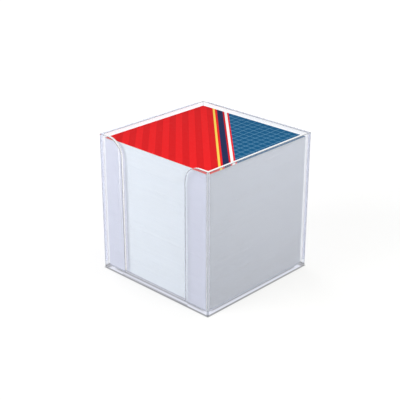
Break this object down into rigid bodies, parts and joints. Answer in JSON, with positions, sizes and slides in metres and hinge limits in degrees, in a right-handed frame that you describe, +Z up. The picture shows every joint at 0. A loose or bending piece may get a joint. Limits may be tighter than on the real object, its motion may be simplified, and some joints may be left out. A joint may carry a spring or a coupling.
{
  "type": "memo box",
  "caption": "Open-topped clear plastic memo box with a finger slot in its front wall, filled with loose square note sheets under a printed cover card.",
  "frame": {"origin": "centre of the box's underside", "axes": "+Z up out of the open top, -Y out of the wall with the finger slot"},
  "size_m": [0.096, 0.096, 0.096],
  "materials": {
    "clear_plastic": "gloss",
    "note_paper": "matte",
    "printed_card": "satin"
  },
  "bodies": {
    "box": {"clear_box": "clear_plastic"},
    "sheet_stack_1": {"sheet_stack_1": "note_paper"},
    "sheet_stack_2": {"sheet_stack_2": "note_paper"},
    "sheet_stack_3": {"sheet_stack_3": "note_paper"},
    "sheet_stack_4": {"sheet_stack_4": "note_paper"},
    "sheet_stack_5": {"sheet_stack_5": "note_paper"},
    "sheet_stack_6": {"sheet_stack_6": "note_paper"},
    "sheet_stack_7": {"sheet_stack_7": "note_paper"},
    "sheet_stack_8": {"sheet_stack_8": "note_paper"},
    "sheet_stack_9": {"sheet_stack_9": "note_paper"},
    "top_sheet": {"top_sheet": "note_paper"},
    "cover_card": {"cover_card": "printed_card"}
  },
  "joints": [
    {"name": "sheet_stack_1_lift", "type": "slide", "parent": "box", "child": "sheet_stack_1", "axis": [0, 0, 1], "range_m": [0, 0.104]},
    {"name": "sheet_stack_2_lift", "type": "slide", "parent": "sheet_stack_1", "child": "sheet_stack_2", "axis": [0, 0, 1], "range_m": [0, 0.093]},
    {"name": "sheet_stack_3_lift", "type": "slide", "parent": "sheet_stack_2", "child": "sheet_stack_3", "axis": [0, 0, 1], "range_m": [0, 0.083]},
    {"name": "sheet_stack_4_lift", "type": "slide", "parent": "sheet_stack_3", "child": "sheet_stack_4", "axis": [0, 0, 1], "range_m": [0, 0.073]},
    {"name": "sheet_stack_5_lift", "type": "slide", "parent": "sheet_stack_4", "child": "sheet_stack_5", "axis": [0, 0, 1], "range_m": [0, 0.063]},
    {"name": "sheet_stack_6_lift", "type": "slide", "parent": "sheet_stack_5", "child": "sheet_stack_6", "axis": [0, 0, 1], "range_m": [0, 0.053]},
    {"name": "sheet_stack_7_lift", "type": "slide", "parent": "sheet_stack_6", "child": "sheet_stack_7", "axis": [0, 0, 1], "range_m": [0, 0.043]},
    {"name": "sheet_stack_8_lift", "type": "slide", "parent": "sheet_stack_7", "child": "sheet_stack_8", "axis": [0, 0, 1], "range_m": [0, 0.033]},
    {"name": "sheet_stack_9_lift", "type": "slide", "parent": "sheet_stack_8", "child": "sheet_stack_9", "axis": [0, 0, 1], "range_m": [0, 0.023]},
    {"name": "top_sheet_lift", "type": "slide", "parent": "sheet_stack_9", "child": "top_sheet", "axis": [0, 0, 1], "range_m": [0, 0.013]},
    {"name": "cover_card_lift", "type": "slide", "parent": "top_sheet", "child": "cover_card", "axis": [0, 0, 1], "range_m": [0, 0.013]}
  ]
}
